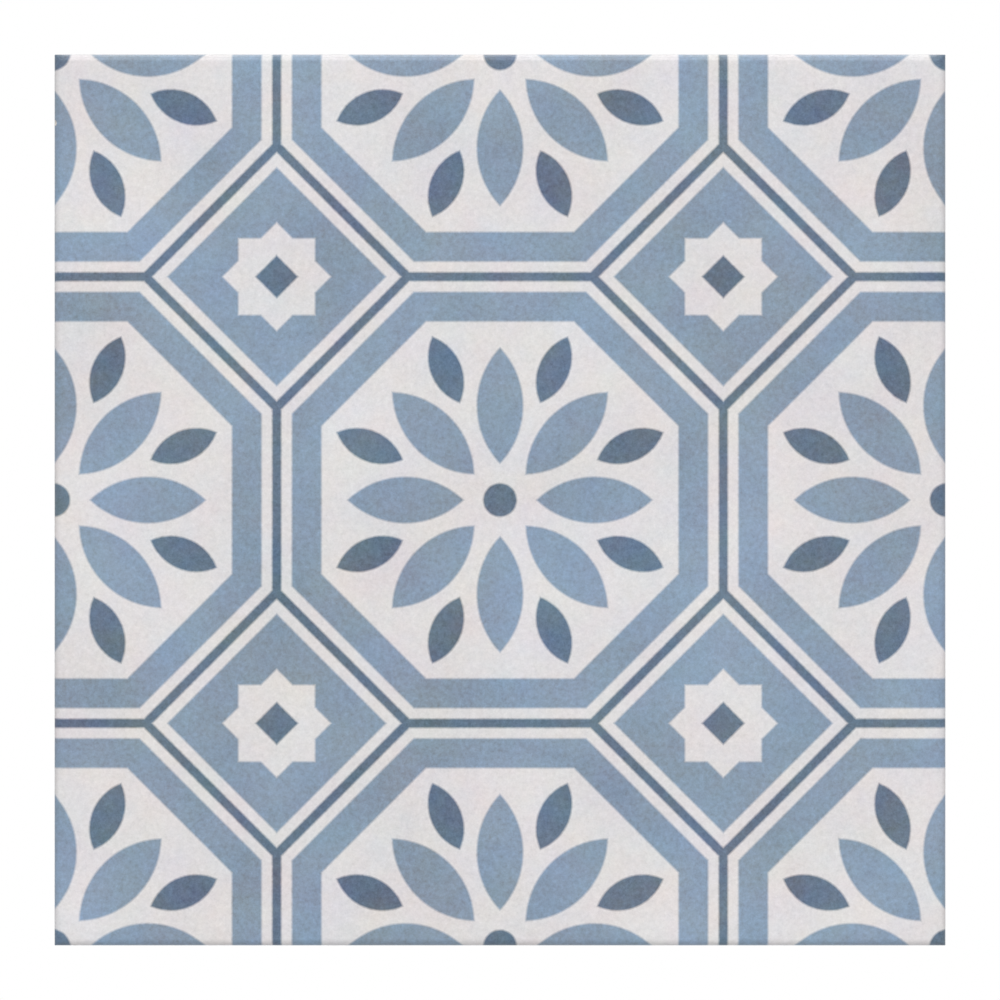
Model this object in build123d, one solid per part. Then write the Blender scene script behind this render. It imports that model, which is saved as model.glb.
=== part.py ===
from build123d import *
import os

# A square floor tile, pressed and fired in one piece. It lies on its back with the glazed face up.
# The origin is the middle of the back, +Z is up through the face. All sizes are in millimetres.

# Overall size
SIDE = 331.0  # one side of the square, edge to edge
THICKNESS = 8.0  # from the ribs of the back to the glazed face

# Edges
ARRIS_RADIUS = 3.0  # rounding of the four edges round the face
FOOT_CHAMFER = 0.6  # bevel round the back

# Keyed back: a grid of shallow square recesses with ribs between them
KEY_COUNT = 10  # recesses along each side
KEY_MARGIN = 9.0  # plain border between the sides and the outer recesses
KEY_RIB = 4.0  # width of a rib
KEY_DEPTH = 0.7  # depth of a recess
KEY_CORNER_RADIUS = 2.0  # rounding of a recess's corners in plan


def slab():
    """The pressed slab, rounded round its face and bevelled round its back."""
    block = Box(SIDE, SIDE, THICKNESS, align=(Align.CENTER, Align.CENTER, Align.MIN))
    face_edges = block.faces().sort_by(Axis.Z)[-1].edges()
    rounded = fillet(face_edges, ARRIS_RADIUS)
    back_edges = rounded.faces().sort_by(Axis.Z)[0].edges()
    return chamfer(back_edges, FOOT_CHAMFER)


def key_recesses():
    """The recesses of the back, spread evenly inside its plain border."""
    keyed_width = SIDE - 2 * KEY_MARGIN
    pitch = (keyed_width + KEY_RIB) / KEY_COUNT
    recess_width = pitch - KEY_RIB
    outline = RectangleRounded(recess_width, recess_width, KEY_CORNER_RADIUS)
    grid = GridLocations(pitch, pitch, KEY_COUNT, KEY_COUNT)
    return [extrude(place * outline, KEY_DEPTH) for place in grid]


tile = slab() - key_recesses()

os.makedirs("parts", exist_ok=True)
export_step(tile, "parts/tile.step")
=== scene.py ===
"""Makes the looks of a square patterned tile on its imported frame, and the stage that it is shown on."""

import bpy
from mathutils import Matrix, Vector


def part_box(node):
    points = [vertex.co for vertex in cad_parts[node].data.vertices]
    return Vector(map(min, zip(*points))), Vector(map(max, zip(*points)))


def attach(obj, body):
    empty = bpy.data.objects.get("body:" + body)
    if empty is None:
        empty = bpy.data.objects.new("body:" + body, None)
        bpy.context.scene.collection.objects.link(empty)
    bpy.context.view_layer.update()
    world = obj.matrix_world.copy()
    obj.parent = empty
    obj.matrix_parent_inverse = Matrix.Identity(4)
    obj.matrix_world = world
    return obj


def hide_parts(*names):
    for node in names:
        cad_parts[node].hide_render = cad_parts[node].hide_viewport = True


bl_info = {
    "name": "Patterned Tile",
    "version": (1, 0, 0),
    "blender": (4, 5, 0),
    "location": "3D View > Sidebar > Tile",
    "description": "Makes a pressed ceramic tile with a printed octagon pattern, and the stage it lies on",
    "category": "Add Mesh",
}

import math

import bmesh
import bpy
from bpy.props import FloatProperty, FloatVectorProperty, IntProperty, PointerProperty
from mathutils import Vector, noise

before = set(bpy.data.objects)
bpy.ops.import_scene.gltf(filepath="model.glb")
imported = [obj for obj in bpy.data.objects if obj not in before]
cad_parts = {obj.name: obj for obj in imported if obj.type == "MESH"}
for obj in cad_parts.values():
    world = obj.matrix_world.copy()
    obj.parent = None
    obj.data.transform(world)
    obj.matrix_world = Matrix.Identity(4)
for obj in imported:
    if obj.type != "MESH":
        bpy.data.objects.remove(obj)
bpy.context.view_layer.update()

NODE = "tile"
BODY = "root"

# Half a side of the square and the height of the face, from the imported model
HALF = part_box(NODE)[1].x
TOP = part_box(NODE)[1].z

# Fineness of the mesh
ARRIS_STEPS = 12
CORNER_STEPS = 3
RECESS_CORNER_STEPS = 3
CELLS_PER_RECESS = 8
CHIP_CUTS = 15  # cuts across each cell of the rim beside the chip
CHIP_LEAN = math.radians(32)  # the chip faces this far up from level
SHARP_ANGLE = math.radians(35)
HAIR = 1e-6  # lengths below this count as nothing

# Order of the tile's materials
FACE = 0
SIDE = 1
BACK = 2

# Texture map: the unrolled face and sides fill most of it, and the back is a small square beside them
MAP_NAME = "OFBake"
MAP_MARGIN = 0.003
NET_SHARE = 0.9
BACK_SHARE = 0.085

ROOT_TWO = math.sqrt(2)
HALF_PETAL_TURN = math.pi / 8  # a dart lies halfway between two of the eight petals
STRAY_SCALE = 900.0  # wobbles of an ink's edge in a metre

# Fired surface: how strongly each kind of unevenness lightens, darkens or tints the mid ink
CLOUD_DEPTH = 0.72
GRAIN_DEPTH = 0.84
SPECK_DEPTH = 0.2
TINT_DEPTH = 0.22  # towards warm or cool
CAST_DEPTH = 0.18  # towards green or violet
THIN_INK_BLUE = 0.2  # the mid ink is this much bluer where it is paler
TINT_PATCHES = 3.0  # patches of tint along a cloud
GRAIN_PEAKS = 4.5  # how far the grain's lightest and darkest spots stand out
SPECK_CORE = 0.4  # share of a speck's radius that is fully dark
GRAIN_ROUGHNESS = 0.1  # how far the grain changes the glaze's roughness
GLAZE_RELIEF = 0.00003  # height of the grain in the glaze

# Liveliness of the ground and of the dark ink, where the mid ink's is 1
CLOUD_LIVELINESS = (0.3, 1.25)
GRAIN_LIVELINESS = (0.46, 1.4)
HUE_LIVELINESS = (0.69, 2.6)

# Noise: how many finer layers it has, and how strong each is beside the one before
CLOUD_NOISE = {"detail": 5.0, "roughness": 0.62}
TINT_NOISE = {"detail": 4.0, "roughness": 0.6}
GRAIN_NOISE = {"detail": 3.0, "roughness": 0.85}
EDGE_NOISE = {"detail": 2.0, "roughness": 0.5}

# Bare clay: sizes in grains, and how strongly each kind of unevenness darkens or raises it
CLAY_CLOUD_SIZE = 30.0
CLAY_SPECK_SPACING = 7.0
CLAY_SPECK_RADIUS = 0.6
CLAY_CLOUD = 0.35
CLAY_GRIT = 0.4
CLAY_SPECK = 0.45
CLAY_PIT = 0.5
CLAY_RELIEF = 0.00012

# Lower edge of the glaze on the sides
GLAZE_EDGE = 0.0002  # the glaze thins out over this height
GLAZE_EDGE_SCALE = 140.0  # waves of the glaze's lower edge in a metre

# Stage
FLOOR_DROP = 0.00005  # the floor lies this much below the tile's back
STRIP_POWER = 4.0  # watts from each square metre of a strip lamp that has a strength of 1
FULL_SPREAD = math.pi  # a lamp with this spread shines to all sides in front of it


def screen_colour(red, green, blue):
    """The linear colour that shows on a screen as these 8-bit steps."""

    def linear(step):
        signal = step / 255
        return signal / 12.92 if signal <= 0.04045 else ((signal + 0.055) / 1.055) ** 2.4

    return tuple(linear(step) for step in (red, green, blue))


def length(name, description, default):
    """A length in metres that the user can set."""
    return FloatProperty(
        name=name,
        description=description,
        default=default,
        min=0.0,
        precision=5,
        subtype="DISTANCE",
        unit="LENGTH",
    )


def share(name, description, default):
    """A share of the whole that the user can set."""
    return FloatProperty(
        name=name,
        description=description,
        default=default,
        min=0.0,
        max=1.0,
        subtype="FACTOR",
    )


def level(name, description, default):
    """A brightness that the user can set."""
    return FloatProperty(name=name, description=description, default=default, min=0.0)


def angle(name, description, degrees):
    """An angle that the user can set."""
    return FloatProperty(
        name=name,
        description=description,
        default=math.radians(degrees),
        subtype="ANGLE",
        unit="ROTATION",
    )


def colour(name, description, default):
    """A colour that the user can set."""
    return FloatVectorProperty(
        name=name,
        description=description,
        default=default,
        size=3,
        min=0.0,
        max=1.0,
        subtype="COLOR",
    )


# Settings


class TILE_PG_shape(bpy.types.PropertyGroup):
    """Edges and back of the pressed slab, whose overall size comes from the frame"""

    arris_radius: length("Arris Radius", "Rounding of the four edges round the face", 0.003)
    corner_radius: length("Corner Radius", "Rounding of the four upright corners", 0.00025)
    foot_chamfer: length("Foot Chamfer", "Bevel round the back", 0.0006)
    key_count: IntProperty(
        name="Recesses", description="Recesses along each side of the back", default=10, min=1
    )
    key_margin: length("Back Border", "Plain border round the recesses of the back", 0.009)
    key_rib: length("Rib Width", "Width of the ribs between the recesses", 0.004)
    key_depth: length("Recess Depth", "Depth of the recesses", 0.0007)
    key_corner_radius: length("Recess Corner", "Rounding of a recess's corners in plan", 0.002)
    chip_place: length("Chip Place", "Middle of the left edge to the small chip in it", 0.1399)
    chip_radius: length("Chip Radius", "Radius of the hollow that the chip left", 0.0011)
    chip_bite: length("Chip Bite", "Depth of that hollow in the edge", 0.0004)
    kiln_sag: length("Kiln Sag", "How far the fired face may dip below flat", 0.00012)
    kiln_sag_span: length("Kiln Sag Span", "Distance over which the face dips and rises", 0.06)


class TILE_PG_print(bpy.types.PropertyGroup):
    """Inks and sizes of the printed pattern"""

    ground: colour("Ground", "Off-white ground of the print", screen_colour(223, 220, 221))
    mid_ink: colour("Mid Ink", "Grey-blue ink of the bands and petals", screen_colour(134, 152, 172))
    dark_ink: colour("Dark Ink", "Slate-blue ink of the lines and darts", screen_colour(94, 112, 132))
    repeats: IntProperty(name="Repeats", description="Repeats of the pattern along a side", default=2, min=1)
    line_width: length("Line Width", "Line round each octagon and square", 0.0034)
    gap: length("Gap", "Bare ground between a line and the ink inside it", 0.0039)
    band_width: length("Band Width", "Band round the inside of each octagon", 0.011)
    petal_start: length("Petal Start", "Octagon's middle to a petal's root", 0.0135)
    petal_length: length("Petal Length", "Root to tip of a petal", 0.043)
    petal_width: length("Petal Width", "Greatest width of a petal", 0.0172)
    dart_start: length("Dart Start", "Octagon's middle to a dart's inner tip", 0.039)
    dart_length: length("Dart Length", "Inner to outer tip of a dart between two petals", 0.0265)
    dart_width: length("Dart Width", "Greatest width of a dart", 0.0115)
    eye_radius: length("Eye Radius", "Round eye in the middle of a rosette", 0.0062)
    star_size: length("Star Size", "Half width of the two squares that make a star", 0.0142)
    boss_size: length("Boss Size", "Half width of the small square inside a star", 0.0056)
    edge_softness: length("Edge Softness", "Half width of the soft edge of an inked shape", 0.00045)
    edge_wander: length("Edge Wander", "How far the edge of an inked shape strays", 0.0002)


class TILE_PG_finish(bpy.types.PropertyGroup):
    """Surface of the glaze and of the bare clay"""

    cloud_size: length("Cloud Size", "Size of the cloudy patches in the inks", 0.06)
    grain_size: length("Grain Size", "Size of the fine grain in the inks", 0.0017)
    speck_spacing: length("Speck Spacing", "Mean distance between specks in the glaze", 0.011)
    speck_radius: length("Speck Radius", "Radius of the larger specks in the glaze", 0.00045)
    glaze_roughness: share("Glaze Roughness", "Roughness of the satin glaze", 0.35)
    glaze_gloss: share("Glaze Gloss", "Strength of the satin glaze's reflections", 0.4)
    glaze_drop: length("Glaze Drop", "How far the glaze runs down the sides, below the arris", 0.0011)
    glaze_stray: length("Glaze Stray", "How far the lower edge of the glaze strays", 0.0015)
    clay: colour("Clay", "Fired clay of the sides and the back", screen_colour(228, 225, 220))
    clay_roughness: share("Clay Roughness", "Roughness of the bare clay", 0.88)
    clay_grain: length("Clay Grain", "Size of the grain of the bare clay", 0.0009)


class TILE_PG_stage(bpy.types.PropertyGroup):
    """Camera, lamps and floor"""

    tile_share: share("Tile Share", "Share of the picture's width that the tile takes", 0.8906)
    lens: FloatProperty(
        name="Lens", description="Focal length of the camera", default=100.0, subtype="DISTANCE_CAMERA"
    )
    ambient: share("Ambient", "Light from all round", 0.3)
    overhead: share("Overhead", "Light from the broad lamp above the tile", 0.714)
    overhead_tilt: angle("Overhead Tilt", "Slant of the lamp above, from the top of the print", 20)
    underneath: share("Underneath", "Light on the back from the lamp below the floor", 0.55)
    underneath_tilt: angle("Underneath Tilt", "Slant of the lamp below the floor", 40)
    sun_breadth: angle("Lamp Breadth", "Breadth of the lamps above and below, as an angle", 60)
    strip_distance: length("Strip Distance", "Top edge to the strip lamps past it", 0.012)
    strip_width: length("Strip Width", "Width of each strip lamp", 0.0125)
    low_strip: level("Low Strip", "Strength of the lower strip lamp", 2.5)
    low_strip_tilt: angle("Low Strip Tilt", "How far the lower strip lamp faces up", 12)
    high_strip: level("High Strip", "Strength of the upper strip lamp", 0.43)
    high_strip_tilt: angle("High Strip Tilt", "How far the upper strip lamp faces down", 42)
    high_strip_spread: angle("High Strip Spread", "Spread of the upper strip lamp's light", 68)
    floor_size: length("Floor Size", "Side of the square floor", 12.0)
    floor_glow: share("Floor Glow", "Share of the floor's white that doesn't depend on the lamp", 0.62)


PRINT_LENGTHS = (
    "line_width",
    "gap",
    "band_width",
    "petal_start",
    "petal_length",
    "petal_width",
    "dart_start",
    "dart_length",
    "dart_width",
    "eye_radius",
    "star_size",
    "boss_size",
    "edge_softness",
    "edge_wander",
)
INK_COLOURS = ("ground", "mid_ink", "dark_ink")
GRAIN_LENGTHS = ("cloud_size", "grain_size", "speck_spacing", "speck_radius")

# Node building


class Field:
    """A number that changes over a surface. Arithmetic on it adds Math nodes to its node tree."""

    def __init__(self, tree, socket):
        self.tree = tree
        self.socket = socket

    def math(self, operation, *operands, clamp=False):
        node = self.tree.nodes.new("ShaderNodeMath")
        node.operation = operation
        node.use_clamp = clamp
        for socket, operand in zip(node.inputs, operands):
            plug(self.tree, operand, socket)
        return Field(self.tree, node.outputs["Value"])

    def __add__(self, other):
        return self.math("ADD", self, other)

    def __sub__(self, other):
        return self.math("SUBTRACT", self, other)

    def __rsub__(self, other):
        return self.math("SUBTRACT", other, self)

    def __mul__(self, other):
        return self.math("MULTIPLY", self, other)

    def __truediv__(self, other):
        return self.math("DIVIDE", self, other)

    def __rtruediv__(self, other):
        return self.math("DIVIDE", other, self)

    def __abs__(self):
        return self.math("ABSOLUTE", self)

    __radd__ = __add__
    __rmul__ = __mul__

    def larger(self, other):
        return self.math("MAXIMUM", self, other)

    def smaller(self, other):
        return self.math("MINIMUM", self, other)

    def hypotenuse(self, other):
        return self.math("SQRT", self * self + other * other)

    def to_nearest(self, half_period):
        """Distance to the nearest whole multiple of twice the half period."""
        return self.math("PINGPONG", self, half_period)

    def ramp(self, start, end):
        """0 before the start, 1 after the end, straight between."""
        return self.math("DIVIDE", self - start, end - start, clamp=True)

    def towards(self, other, amount):
        """This number where the amount is 0, the other where it is 1."""
        return self + (other - self) * amount


def plug(tree, value, socket):
    """Links a socket to a field or to another socket, or sets it to a plain value."""
    if isinstance(value, Field):
        value = value.socket
    if isinstance(value, bpy.types.NodeSocket):
        tree.links.new(value, socket)
    elif socket.type == "RGBA":
        socket.default_value = (*value, 1.0)
    else:
        socket.default_value = value


def socket_label(name):
    """The label of a group's socket, such as Line Width for line_width."""
    return name.replace("_", " ").title()


def new_group(name, inputs, outputs):
    """A shader node group with these named sockets, as its tree, what goes in and what comes out."""
    tree = bpy.data.node_groups.new(name, "ShaderNodeTree")
    for label, kind in inputs.items():
        tree.interface.new_socket(socket_label(label), in_out="INPUT", socket_type="NodeSocket" + kind)
    for label, kind in outputs.items():
        tree.interface.new_socket(socket_label(label), in_out="OUTPUT", socket_type="NodeSocket" + kind)
    given = tree.nodes.new("NodeGroupInput").outputs
    result = tree.nodes.new("NodeGroupOutput").inputs
    return tree, given, result


def place_group(tree, group, **values):
    """Places a group in a tree, feeds its inputs and returns its outputs."""
    node = tree.nodes.new("ShaderNodeGroup")
    node.node_tree = group
    for name, value in values.items():
        plug(tree, value, node.inputs[socket_label(name)])
    return node.outputs


def passed_on(given, *names):
    """What goes into a group under these names, to feed the like inputs of a group inside it."""
    return {name: given[socket_label(name)] for name in names}


def axes_of(tree, position):
    """The X, Y and Z of a position."""
    node = tree.nodes.new("ShaderNodeSeparateXYZ")
    plug(tree, position, node.inputs["Vector"])
    return [Field(tree, socket) for socket in node.outputs]


def vector_of(tree, x, y, z):
    """A vector with these three numbers."""
    node = tree.nodes.new("ShaderNodeCombineXYZ")
    for socket, value in zip(node.inputs, (x, y, z)):
        plug(tree, value, socket)
    return node.outputs["Vector"]


def multiplied(tree, first, second):
    """Two vectors or colours, multiplied axis by axis."""
    node = tree.nodes.new("ShaderNodeVectorMath")
    node.operation = "MULTIPLY"
    plug(tree, first, node.inputs[0])
    plug(tree, second, node.inputs[1])
    return node.outputs["Vector"]


def noise_node(tree, position, scale, detail, roughness):
    """Soft noise, as the outputs of its node: a number and a colour, each from 0 to 1."""
    node = tree.nodes.new("ShaderNodeTexNoise")
    plug(tree, position, node.inputs["Vector"])
    plug(tree, scale, node.inputs["Scale"])
    plug(tree, detail, node.inputs["Detail"])
    plug(tree, roughness, node.inputs["Roughness"])
    return node.outputs


def noise_field(tree, position, scale, detail, roughness):
    """Soft noise about zero, from -0.5 to 0.5."""
    return Field(tree, noise_node(tree, position, scale, detail, roughness)[0]) - 0.5


def drift_fields(tree, position, scale, detail, roughness):
    """Three soft noises about zero that have nothing to do with each other."""
    drift = noise_node(tree, position, scale, detail, roughness)["Color"]
    return [channel - 0.5 for channel in axes_of(tree, drift)]


def mixed_colour(tree, amount, first, second):
    """The first colour where the amount is 0, the second where it is 1."""
    node = tree.nodes.new("ShaderNodeMix")
    node.data_type = "RGBA"
    factor, first_socket, second_socket = node.inputs[0], node.inputs[6], node.inputs[7]
    plug(tree, amount, factor)
    plug(tree, first, first_socket)
    plug(tree, second, second_socket)
    return node.outputs[2]


# Node groups


def lens_distance(along, across, start, whole_length, width):
    """Distance to a pointed leaf that lies along an axis: two arcs that meet at its tips."""
    half_length = whole_length / 2.0
    half_width = width / 2.0
    arc_radius = (half_length * half_length + half_width * half_width) / width
    past_middle = along - start - half_length
    past_arc_centre = across + arc_radius - half_width
    return past_middle.hypotenuse(past_arc_centre) - arc_radius


def octagon_print():
    """Masks of the two inks: octagons with a rosette in each, and starred squares between their corners."""
    inputs = {"position": "Vector", "half_repeat": "Float"}
    inputs.update({name: "Float" for name in PRINT_LENGTHS})
    tree, given, result = new_group("octagon print", inputs, {"mid_ink": "Float", "dark_ink": "Float"})
    position = given["Position"]
    half_repeat = Field(tree, given["Half Repeat"])
    size = {name: Field(tree, given[socket_label(name)]) for name in PRINT_LENGTHS}

    # Place within the repeat, measured from the middle of the nearest octagon
    x, y, _ = axes_of(tree, position)
    across = x.to_nearest(half_repeat)
    up = y.to_nearest(half_repeat)
    slant = (across + up) / ROOT_TWO
    far = across.larger(up)
    near = across.smaller(up)

    # How far inside the octagon, negative inside the squares between the octagons
    depth = half_repeat - far.larger(slant)

    # Line on the shared edge, then bare ground, then the ink inside it
    half_line = size["line_width"] / 2.0
    half_band = size["band_width"] / 2.0
    ink_start = half_line + size["gap"]
    line = abs(depth) - half_line
    band = abs(depth - ink_start - half_band) - half_band

    # Eight petals, straight and slanted, and a dart between each pair
    petal = (size["petal_start"], size["petal_length"], size["petal_width"])
    dart = (size["dart_start"], size["dart_length"], size["dart_width"])
    straight_petal = lens_distance(far, near, *petal)
    slanted_petal = lens_distance(slant, (far - near) / ROOT_TWO, *petal)
    petals = straight_petal.smaller(slanted_petal)
    cosine = math.cos(HALF_PETAL_TURN)
    sine = math.sin(HALF_PETAL_TURN)
    dart_along = far * cosine + near * sine
    dart_across = abs(near * cosine - far * sine)
    darts = lens_distance(dart_along, dart_across, *dart)
    eye = across.hypotenuse(up) - size["eye_radius"]

    # Star of two crossed squares, with a boss in it, in the inked field of each small square
    side_reach = (half_repeat - across).larger(half_repeat - up)
    slant_reach = half_repeat * ROOT_TWO - slant
    star = side_reach.smaller(slant_reach) - size["star_size"]
    boss = slant_reach - size["boss_size"]
    field = (depth + ink_start).larger(star * -1.0)

    stray = noise_field(tree, position, STRAY_SCALE, **EDGE_NOISE) * size["edge_wander"]
    softness = size["edge_softness"]

    def inked(*outlines):
        nearest = outlines[0]
        for outline in outlines[1:]:
            nearest = nearest.smaller(outline)
        return (nearest + stray).ramp(softness, softness * -1.0)

    plug(tree, inked(band, petals, field), result["Mid Ink"])
    plug(tree, inked(line, darts, eye, boss), result["Dark Ink"])
    return tree


def fired_grain():
    """What the firing leaves in a surface: clouds, drifts of tint, fine grain and specks."""
    inputs = {"position": "Vector"}
    inputs.update({name: "Float" for name in GRAIN_LENGTHS})
    outputs = {name: "Float" for name in ("clouds", "tint", "cast", "grain", "specks")}
    tree, given, result = new_group("fired grain", inputs, outputs)
    position = given["Position"]
    cloud_scale = 1.0 / Field(tree, given["Cloud Size"])
    grain_scale = 1.0 / Field(tree, given["Grain Size"])
    speck_spacing = Field(tree, given["Speck Spacing"])

    clouds = noise_field(tree, position, cloud_scale, **CLOUD_NOISE)
    tint, cast, _ = drift_fields(tree, position, cloud_scale * TINT_PATCHES, **TINT_NOISE)
    even_grain = noise_field(tree, position, grain_scale, **GRAIN_NOISE)
    grain = even_grain * (even_grain * even_grain * GRAIN_PEAKS + 1.0)

    cells = tree.nodes.new("ShaderNodeTexVoronoi")
    plug(tree, position, cells.inputs["Vector"])
    plug(tree, 1.0 / speck_spacing, cells.inputs["Scale"])
    draw = axes_of(tree, cells.outputs["Color"])[0]
    from_speck = Field(tree, cells.outputs["Distance"]) * speck_spacing
    radius = Field(tree, given["Speck Radius"]) * draw
    specks = from_speck.ramp(radius, radius * SPECK_CORE)

    plug(tree, clouds, result["Clouds"])
    plug(tree, tint, result["Tint"])
    plug(tree, cast, result["Cast"])
    plug(tree, grain, result["Grain"])
    plug(tree, specks, result["Specks"])
    return tree


def printed_inks(octagons, grain):
    """The inks of the print with the mottling of the kiln, which is calmer on the bare ground."""
    inputs = {"position": "Vector", "half_repeat": "Float"}
    inputs.update({name: "Float" for name in PRINT_LENGTHS + GRAIN_LENGTHS})
    inputs.update({name: "Color" for name in INK_COLOURS})
    tree, given, result = new_group("printed inks", inputs, {"color": "Color", "grain": "Float"})
    printed = place_group(tree, octagons, **passed_on(given, "position", "half_repeat", *PRINT_LENGTHS))
    fired = place_group(tree, grain, **passed_on(given, "position", *GRAIN_LENGTHS))
    mid = Field(tree, printed["Mid Ink"])
    dark = Field(tree, printed["Dark Ink"])
    flat = mixed_colour(tree, mid, given["Ground"], given["Mid Ink"])
    flat = mixed_colour(tree, dark, flat, given["Dark Ink"])

    def lively(on_ground, on_dark):
        return mid * (1.0 - on_ground) + dark * (on_dark - on_ground) + on_ground

    clouds = Field(tree, fired["Clouds"]) * CLOUD_DEPTH * lively(*CLOUD_LIVELINESS)
    spots = Field(tree, fired["Grain"]) * GRAIN_DEPTH - Field(tree, fired["Specks"]) * SPECK_DEPTH
    mottle = clouds + spots * lively(*GRAIN_LIVELINESS)
    hue = lively(*HUE_LIVELINESS)
    tint = Field(tree, fired["Tint"]) * TINT_DEPTH * hue + mottle * mid * THIN_INK_BLUE
    cast = Field(tree, fired["Cast"]) * CAST_DEPTH * hue
    shade = 1.0 + mottle
    unevenness = vector_of(tree, shade - tint, shade + cast, shade + tint)
    plug(tree, multiplied(tree, flat, unevenness), result["Color"])
    plug(tree, fired["Grain"], result["Grain"])
    return tree


def bare_clay(grain):
    """Colour and height of the unglazed clay, with its clouds, grit and specks."""
    inputs = {"position": "Vector", "clay": "Color", "clay_grain": "Float"}
    tree, given, result = new_group("bare clay", inputs, {"color": "Color", "height": "Float"})
    position = given["Position"]
    grain_size = Field(tree, given["Clay Grain"])
    fired = place_group(
        tree,
        grain,
        position=position,
        cloud_size=grain_size * CLAY_CLOUD_SIZE,
        grain_size=grain_size,
        speck_spacing=grain_size * CLAY_SPECK_SPACING,
        speck_radius=grain_size * CLAY_SPECK_RADIUS,
    )
    clouds = Field(tree, fired["Clouds"])
    grit = Field(tree, fired["Grain"])
    specks = Field(tree, fired["Specks"])
    shade = 1.0 + clouds * CLAY_CLOUD + grit * CLAY_GRIT - specks * CLAY_SPECK
    plug(tree, multiplied(tree, given["Clay"], vector_of(tree, shade, shade, shade)), result["Color"])
    plug(tree, grit - specks * CLAY_PIT, result["Height"])
    return tree


# Materials


def new_material(name):
    """A material with a bare Principled shader, as the material, its tree and the shader's inputs."""
    material = bpy.data.materials.new(name)
    material.use_nodes = True
    tree = material.node_tree
    return material, tree, tree.nodes["Principled BSDF"].inputs


def object_position(tree):
    """The place on the piece, in metres."""
    return tree.nodes.new("ShaderNodeTexCoord").outputs["Object"]


def bump(tree, height, distance):
    """The normal of a surface with this relief."""
    node = tree.nodes.new("ShaderNodeBump")
    plug(tree, height, node.inputs["Height"])
    plug(tree, distance, node.inputs["Distance"])
    return node.outputs["Normal"]


def place_inks(tree, group, position, inks, finish):
    """Places the printed inks in a material, with the user's sizes and colours."""
    values = {name: getattr(inks, name) for name in PRINT_LENGTHS + INK_COLOURS}
    values.update({name: getattr(finish, name) for name in GRAIN_LENGTHS})
    outputs = place_group(tree, group, position=position, half_repeat=HALF / inks.repeats, **values)
    return outputs["Color"], Field(tree, outputs["Grain"])


def place_clay(tree, group, position, finish):
    """Places the bare clay in a material, with the user's grain and colour."""
    outputs = place_group(tree, group, position=position, clay=finish.clay, clay_grain=finish.clay_grain)
    return outputs["Color"], Field(tree, outputs["Height"])


def printed_glaze(inks, finish, ink_group):
    """Satin glaze over the printed inks of the face."""
    material, tree, shader = new_material("printed glaze")
    ink_colour, grain = place_inks(tree, ink_group, object_position(tree), inks, finish)
    plug(tree, ink_colour, shader["Base Color"])
    plug(tree, grain * GRAIN_ROUGHNESS + finish.glaze_roughness, shader["Roughness"])
    plug(tree, finish.glaze_gloss, shader["Specular IOR Level"])
    plug(tree, bump(tree, grain, GLAZE_RELIEF), shader["Normal"])
    return material


def glazed_side(shape, inks, finish, ink_group, clay_group):
    """The printed glaze where it runs down the sides, to an uneven edge with bare clay below it."""
    material, tree, shader = new_material("glazed side")
    position = object_position(tree)
    ink_colour, grain = place_inks(tree, ink_group, position, inks, finish)
    clay_colour, clay_height = place_clay(tree, clay_group, position, finish)
    height = axes_of(tree, position)[2]
    edge_height = TOP - shape.arris_radius - finish.glaze_drop
    edge = noise_field(tree, position, GLAZE_EDGE_SCALE, **EDGE_NOISE) * finish.glaze_stray + edge_height
    glazed = height.ramp(edge, edge + GLAZE_EDGE)
    satin = grain * GRAIN_ROUGHNESS + finish.glaze_roughness
    relief = (clay_height * CLAY_RELIEF).towards(grain * GLAZE_RELIEF, glazed)
    plug(tree, mixed_colour(tree, glazed, clay_colour, ink_colour), shader["Base Color"])
    plug(tree, (satin - finish.clay_roughness) * glazed + finish.clay_roughness, shader["Roughness"])
    plug(tree, finish.glaze_gloss, shader["Specular IOR Level"])
    plug(tree, bump(tree, relief, 1.0), shader["Normal"])
    return material


def bare_biscuit(finish, clay_group):
    """Unglazed fired clay of the back."""
    material, tree, shader = new_material("bare biscuit")
    clay_colour, clay_height = place_clay(tree, clay_group, object_position(tree), finish)
    plug(tree, clay_colour, shader["Base Color"])
    plug(tree, finish.clay_roughness, shader["Roughness"])
    plug(tree, finish.glaze_gloss, shader["Specular IOR Level"])
    plug(tree, bump(tree, clay_height, CLAY_RELIEF), shader["Normal"])
    return material


# Tile mesh


def only(kind, items):
    """Those of some mesh elements that are of one kind."""
    return [item for item in items if isinstance(item, kind)]


def unique(items):
    """The items in their order, each once."""
    return list(dict.fromkeys(items))


def plan_reach(place):
    """How far a place is from the tile's upright axis, measured along X or Y."""
    return max(abs(place.x), abs(place.y))


def is_upright(edge):
    """Whether an edge's ends lie at different heights."""
    return abs(edge.verts[0].co.z - edge.verts[1].co.z) > HAIR


def wrap_profile(shape, keyed_half):
    """Half width and height of each ring that wraps the tile, from its flat face round to its back."""
    rings = []
    for step in range(1, ARRIS_STEPS + 1):
        turn = math.pi / 2 * step / ARRIS_STEPS
        half = HALF - shape.arris_radius * (1 - math.sin(turn))
        height = TOP - shape.arris_radius * (1 - math.cos(turn))
        rings.append((half, height))
    rings.append((HALF, shape.foot_chamfer))
    rings.append((HALF - shape.foot_chamfer, 0.0))
    rings.append((keyed_half, 0.0))
    return rings


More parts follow.
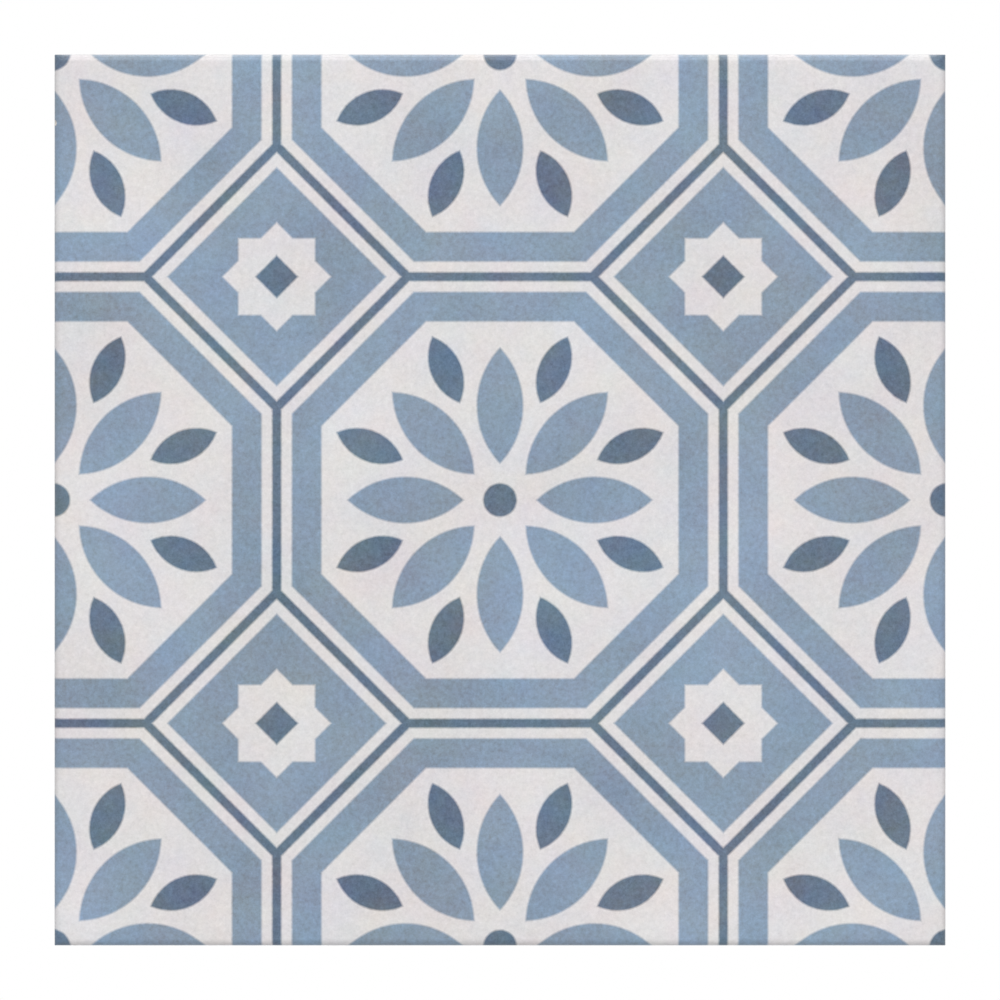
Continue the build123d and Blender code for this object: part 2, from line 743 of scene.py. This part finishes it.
def wrap_slab(mesh, shape, keyed_half):
    """The flat face, then ring after ring drawn from its rim round to the border of the back."""
    cells = shape.key_count * CELLS_PER_RECESS
    half = HALF - shape.arris_radius
    height = TOP
    made = bmesh.ops.create_grid(mesh, x_segments=cells, y_segments=cells, size=half)
    bmesh.ops.translate(mesh, vec=(0.0, 0.0, height), verts=made["verts"])
    edges = unique(edge for vert in made["verts"] for edge in vert.link_edges)
    rim = [edge for edge in edges if edge.is_boundary]
    for next_half, next_height in wrap_profile(shape, keyed_half):
        made = bmesh.ops.extrude_edge_only(mesh, edges=rim)["geom"]
        verts = only(bmesh.types.BMVert, made)
        growth = next_half / half
        bmesh.ops.scale(mesh, vec=(growth, growth, 1.0), verts=verts)
        bmesh.ops.translate(mesh, vec=(0.0, 0.0, next_height - height), verts=verts)
        rim = [edge for edge in only(bmesh.types.BMEdge, made) if edge.is_boundary]
        half, height = next_half, next_height


def soften_corners(mesh, shape):
    """Rounds the four upright corners, from the rim of the face down to the back."""
    flat_half = HALF - shape.arris_radius

    def on_corner(vert):
        on_diagonal = abs(abs(vert.co.x) - abs(vert.co.y)) < HAIR
        return on_diagonal and plan_reach(vert.co) > flat_half - HAIR

    uprights = [edge for edge in mesh.edges if is_upright(edge)]
    corners = [edge for edge in uprights if all(on_corner(vert) for vert in edge.verts)]
    bmesh.ops.bevel(
        mesh,
        geom=corners,
        offset=shape.corner_radius,
        offset_type="OFFSET",
        affect="EDGES",
        segments=CORNER_STEPS,
        profile=0.5,
        material=-1,
        clamp_overlap=True,
    )


def press_back(mesh, shape, keyed_half):
    """The keyed part of the back: a grid of shallow recesses with rounded corners, and ribs between them."""
    count = shape.key_count
    made = bmesh.ops.create_grid(mesh, x_segments=count, y_segments=count, size=keyed_half)
    panels = unique(face for vert in made["verts"] for face in vert.link_faces)
    bmesh.ops.reverse_faces(mesh, faces=panels)
    bmesh.ops.inset_individual(mesh, faces=panels, thickness=shape.key_rib / 2, use_even_offset=True)
    floors = bmesh.ops.extrude_discrete_faces(mesh, faces=panels)["faces"]
    floor_verts = unique(vert for face in floors for vert in face.verts)
    bmesh.ops.translate(mesh, vec=(0.0, 0.0, shape.key_depth), verts=floor_verts)
    floor_edges = unique(edge for vert in floor_verts for edge in vert.link_edges)
    uprights = [edge for edge in floor_edges if is_upright(edge)]
    bmesh.ops.bevel(
        mesh,
        geom=uprights,
        offset=shape.key_corner_radius,
        offset_type="OFFSET",
        affect="EDGES",
        segments=RECESS_CORNER_STEPS,
        profile=0.5,
        material=-1,
        clamp_overlap=True,
    )
    rim = [edge for edge in mesh.edges if edge.is_boundary]
    bmesh.ops.subdivide_edges(mesh, edges=rim, cuts=CELLS_PER_RECESS - 1)


def choose_materials(mesh, shape):
    """Gives each face the material of the printed face, the sides or the back."""
    back_half = HALF - shape.foot_chamfer
    side_top = TOP - shape.arris_radius
    for face in mesh.faces:
        highest = max(vert.co.z for vert in face.verts)
        widest = max(plan_reach(vert.co) for vert in face.verts)
        if highest > side_top + HAIR:
            face.material_index = FACE
        elif widest > back_half + HAIR:
            face.material_index = SIDE
        else:
            face.material_index = BACK


def unrolled(shape, place):
    """A place on the outside of the tile as X and Y, once the arris and the sides are laid out flat."""
    radius = shape.arris_radius
    flat_half = HALF - radius
    drop = TOP - place.z
    if drop < HAIR:
        return place.x, place.y
    turn = math.acos(max(0.0, 1 - drop / radius))
    ring_half = flat_half + radius * math.sin(turn)
    reach = flat_half + radius * turn
    if drop > radius:
        reach += drop - radius
    if place.z < shape.foot_chamfer:
        ring_half -= shape.foot_chamfer - place.z
        reach += (shape.foot_chamfer - place.z) * (ROOT_TWO - 1)
    return place.x * reach / ring_half, place.y * reach / ring_half


def lay_texture_map(mesh, shape):
    """Maps the face and sides as one unrolled square, and the back as a small square beside it."""
    layer = mesh.loops.layers.uv.new(MAP_NAME)
    back_half = HALF - shape.foot_chamfer
    net_half = unrolled(shape, Vector((back_half, 0.0, 0.0)))[0]
    back_left = MAP_MARGIN + NET_SHARE + MAP_MARGIN
    for face in mesh.faces:
        for loop in face.loops:
            place = loop.vert.co
            if face.material_index == BACK:
                left, share_taken, half = back_left, BACK_SHARE, back_half
                x, y = place.x, place.y
            else:
                left, share_taken, half = MAP_MARGIN, NET_SHARE, net_half
                x, y = unrolled(shape, place)
            across = (x / half + 1) / 2
            up = (y / half + 1) / 2
            loop[layer].uv = (left + across * share_taken, MAP_MARGIN + up * share_taken)


def chip_edge(mesh, shape):
    """Knocks a small round hollow out of the left arris and bares the clay in it."""
    radius = shape.chip_radius
    cell = 2 * HALF / (shape.key_count * CELLS_PER_RECESS)
    arris_middle = Vector((shape.arris_radius - HALF, shape.chip_place, TOP - shape.arris_radius))
    outward = Vector((-math.cos(CHIP_LEAN), 0.0, math.sin(CHIP_LEAN)))
    centre = arris_middle + outward * (shape.arris_radius + radius - shape.chip_bite)

    def runs_beside(edge):
        first, second = (vert.co - centre for vert in edge.verts)
        runs_along = math.hypot(first.x - second.x, first.z - second.z) < HAIR
        in_reach = max(abs(first.y), abs(second.y)) < cell + radius
        return runs_along and in_reach and math.hypot(first.x, first.z) < 2 * radius

    beside = [edge for edge in mesh.edges if runs_beside(edge)]
    bmesh.ops.subdivide_edges(mesh, edges=beside, cuts=CHIP_CUTS)
    struck = [vert for vert in mesh.verts if (vert.co - centre).length < radius]
    for vert in struck:
        vert.co = centre + (vert.co - centre).normalized() * radius
    for face in unique(face for vert in struck for face in vert.link_faces):
        face.material_index = BACK


def sag_in_kiln(mesh, shape):
    """Lets the face dip a little here and there, fading to nothing at the back."""
    for vert in mesh.verts:
        place = Vector((vert.co.x, vert.co.y, 0.0)) / shape.kiln_sag_span
        dip = shape.kiln_sag * (0.5 + 0.5 * noise.noise(place))
        vert.co.z -= dip * max(0.0, vert.co.z - shape.key_depth) / TOP


def tile_mesh(shape):
    """The closed mesh of the tile."""
    mesh = bmesh.new()
    keyed_half = HALF - shape.key_margin + shape.key_rib / 2
    press_back(mesh, shape, keyed_half)
    wrap_slab(mesh, shape, keyed_half)
    soften_corners(mesh, shape)
    bmesh.ops.remove_doubles(mesh, verts=mesh.verts, dist=HAIR)
    bmesh.ops.recalc_face_normals(mesh, faces=mesh.faces)
    choose_materials(mesh, shape)
    lay_texture_map(mesh, shape)
    chip_edge(mesh, shape)
    sag_in_kiln(mesh, shape)
    open_edges = [edge for edge in mesh.edges if not edge.is_manifold]
    if open_edges:
        raise RuntimeError(f"the tile's mesh has {len(open_edges)} open edges")
    for face in mesh.faces:
        face.smooth = True
    data = bpy.data.meshes.new(NODE)
    mesh.to_mesh(data)
    mesh.free()
    data.set_sharp_from_angle(angle=SHARP_ANGLE)
    return data


# Stage


def light_path(tree, *names):
    """1 for rays of any of the named kinds, otherwise 0."""
    outputs = tree.nodes.new("ShaderNodeLightPath").outputs
    kinds = [Field(tree, outputs[name]) for name in names]
    total = kinds[0]
    for kind in kinds[1:]:
        total = total.larger(kind)
    return total


def light_all_round(stage):
    """Even light from all sides, which shows as plain white behind the tile and in its reflections."""
    world = bpy.data.worlds.new("white surround")
    world.use_nodes = True
    bpy.context.scene.world = world
    tree = world.node_tree
    background = tree.nodes["Background"].inputs
    plug(tree, (1.0, 1.0, 1.0), background["Color"])
    seen = light_path(tree, "Is Camera Ray", "Is Glossy Ray", "Is Transmission Ray")
    plug(tree, seen * (1.0 - stage.ambient) + stage.ambient, background["Strength"])


def floor_white(stage):
    """White floor that keeps a soft shadow, and that can be looked through from below."""
    material, tree, shader = new_material("white floor")
    plug(tree, (1.0 - stage.floor_glow,) * 3, shader["Base Color"])
    plug(tree, 1.0, shader["Roughness"])
    plug(tree, 0.0, shader["Specular IOR Level"])
    plug(tree, (1.0, 1.0, 1.0), shader["Emission Color"])
    seen = light_path(tree, "Is Camera Ray", "Is Glossy Ray", "Is Transmission Ray")
    plug(tree, seen * stage.floor_glow, shader["Emission Strength"])
    under = tree.nodes.new("ShaderNodeNewGeometry").outputs["Backfacing"]
    clear = tree.nodes.new("ShaderNodeBsdfTransparent")
    sides = tree.nodes.new("ShaderNodeMixShader")
    plug(tree, under, sides.inputs[0])
    plug(tree, tree.nodes["Principled BSDF"].outputs["BSDF"], sides.inputs[1])
    plug(tree, clear.outputs["BSDF"], sides.inputs[2])
    plug(tree, sides.outputs["Shader"], tree.nodes["Material Output"].inputs["Surface"])
    return material


def lay_floor(stage):
    """A wide floor, open under the tile so that its back can be seen from below."""
    mesh = bmesh.new()
    half = stage.floor_size / 2
    bmesh.ops.create_grid(mesh, x_segments=1, y_segments=1, size=half)
    middle = mesh.faces[:]
    bmesh.ops.inset_region(mesh, faces=middle, thickness=half - HALF, use_even_offset=True)
    bmesh.ops.delete(mesh, geom=middle, context="FACES_ONLY")
    bmesh.ops.translate(mesh, vec=(0.0, 0.0, -FLOOR_DROP), verts=mesh.verts)
    data = bpy.data.meshes.new("floor")
    mesh.to_mesh(data)
    mesh.free()
    data.materials.append(floor_white(stage))
    floor = bpy.data.objects.new("floor", data)
    bpy.context.collection.objects.link(floor)


def add_lamp(name, kind, direction):
    """A lamp that shines in this direction, and that can't itself be seen."""
    lamp = bpy.data.lights.new(name, kind)
    light = bpy.data.objects.new(name, lamp)
    bpy.context.collection.objects.link(light)
    light.rotation_euler = Vector(direction).to_track_quat("-Z", "Y").to_euler()
    light.visible_camera = False
    return lamp, light


def hang_sun(name, brightness, breadth, direction):
    """A broad lamp, kept out of reflections, that shows what faces it at this share of its colour."""
    lamp, light = add_lamp(name, "SUN", direction)
    lamp.energy = brightness * math.pi
    lamp.angle = breadth
    light.visible_glossy = False


def hang_strip(name, stage, shape, strength, tilt, spread):
    """A strip lamp past the top of the print that faces the arris, and shows only as gloss."""
    arris = Vector((0.0, HALF, TOP - shape.arris_radius / 2))
    towards_arris = Vector((0.0, -math.cos(tilt), -math.sin(tilt)))
    lamp, light = add_lamp(name, "AREA", towards_arris)
    lamp.shape = "RECTANGLE"
    lamp.size = 2 * HALF
    lamp.size_y = stage.strip_width
    lamp.spread = spread
    lamp.energy = strength * STRIP_POWER * lamp.size * lamp.size_y
    light.location = arris - towards_arris * stage.strip_distance
    light.visible_diffuse = False


def hang_lamps(stage, shape):
    """Broad lamps above and below the tile, and two strips that make a soft gloss along its top edge."""
    downwards = (0.0, -math.sin(stage.overhead_tilt), -math.cos(stage.overhead_tilt))
    upwards = (0.0, math.sin(stage.underneath_tilt), math.cos(stage.underneath_tilt))
    hang_sun("overhead", stage.overhead, stage.sun_breadth, downwards)
    hang_sun("underneath", stage.underneath, stage.sun_breadth, upwards)
    hang_strip("low strip", stage, shape, stage.low_strip, -stage.low_strip_tilt, FULL_SPREAD)
    hang_strip("high strip", stage, shape, stage.high_strip, stage.high_strip_tilt, stage.high_strip_spread)


def place_camera(stage, shape):
    """Looks straight down on the tile, so that its outline takes the wanted share of the picture."""
    data = bpy.data.cameras.new("camera")
    data.lens = stage.lens
    camera = bpy.data.objects.new("camera", data)
    bpy.context.collection.objects.link(camera)
    outline_height = TOP - shape.arris_radius
    frame_width = 2 * HALF / stage.tile_share
    camera.location = (0.0, 0.0, outline_height + frame_width * data.lens / data.sensor_width)
    bpy.context.scene.camera = camera


# Operators and panel


class TILE_OT_make_tile(bpy.types.Operator):
    """Model the tile and give it its glaze and bare clay"""

    bl_idname = "patterned_tile.make_tile"
    bl_label = "Make Tile"
    bl_options = {"REGISTER", "UNDO"}

    def execute(self, context):
        scene = context.scene
        shape, inks, finish = scene.tile_shape, scene.tile_print, scene.tile_finish
        data = tile_mesh(shape)
        grain = fired_grain()
        ink_group = printed_inks(octagon_print(), grain)
        clay_group = bare_clay(grain)
        data.materials.append(printed_glaze(inks, finish, ink_group))
        data.materials.append(glazed_side(shape, inks, finish, ink_group, clay_group))
        data.materials.append(bare_biscuit(finish, clay_group))
        tile = bpy.data.objects.new("patterned_tile", data)
        context.collection.objects.link(tile)
        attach(tile, BODY)
        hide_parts(NODE)
        return {"FINISHED"}


class TILE_OT_set_stage(bpy.types.Operator):
    """Lay the floor, light the tile and place the camera"""

    bl_idname = "patterned_tile.set_stage"
    bl_label = "Set Stage"
    bl_options = {"REGISTER", "UNDO"}

    def execute(self, context):
        scene = context.scene
        scene.view_settings.view_transform = "Standard"
        light_all_round(scene.tile_stage)
        lay_floor(scene.tile_stage)
        hang_lamps(scene.tile_stage, scene.tile_shape)
        place_camera(scene.tile_stage, scene.tile_shape)
        return {"FINISHED"}


class TILE_PT_sidebar(bpy.types.Panel):
    """The tile's settings, and the buttons that make it and its stage"""

    bl_idname = "TILE_PT_sidebar"
    bl_label = "Patterned Tile"
    bl_space_type = "VIEW_3D"
    bl_region_type = "UI"
    bl_category = "Tile"

    def draw(self, context):
        for name, kind in SETTINGS.items():
            group = getattr(context.scene, name)
            box = self.layout.box()
            box.label(text=socket_label(name))
            for setting in kind.__annotations__:
                box.prop(group, setting)
        self.layout.operator(TILE_OT_make_tile.bl_idname)
        self.layout.operator(TILE_OT_set_stage.bl_idname)


SETTINGS = {
    "tile_shape": TILE_PG_shape,
    "tile_print": TILE_PG_print,
    "tile_finish": TILE_PG_finish,
    "tile_stage": TILE_PG_stage,
}
CLASSES = (*SETTINGS.values(), TILE_OT_make_tile, TILE_OT_set_stage, TILE_PT_sidebar)


def register():
    for kind in CLASSES:
        bpy.utils.register_class(kind)
    for name, group in SETTINGS.items():
        setattr(bpy.types.Scene, name, PointerProperty(type=group))


def unregister():
    for name in SETTINGS:
        delattr(bpy.types.Scene, name)
    for kind in reversed(CLASSES):
        bpy.utils.unregister_class(kind)


def main():
    register()
    bpy.ops.patterned_tile.make_tile()
    bpy.ops.patterned_tile.set_stage()


if __name__ == "__main__":
    main()
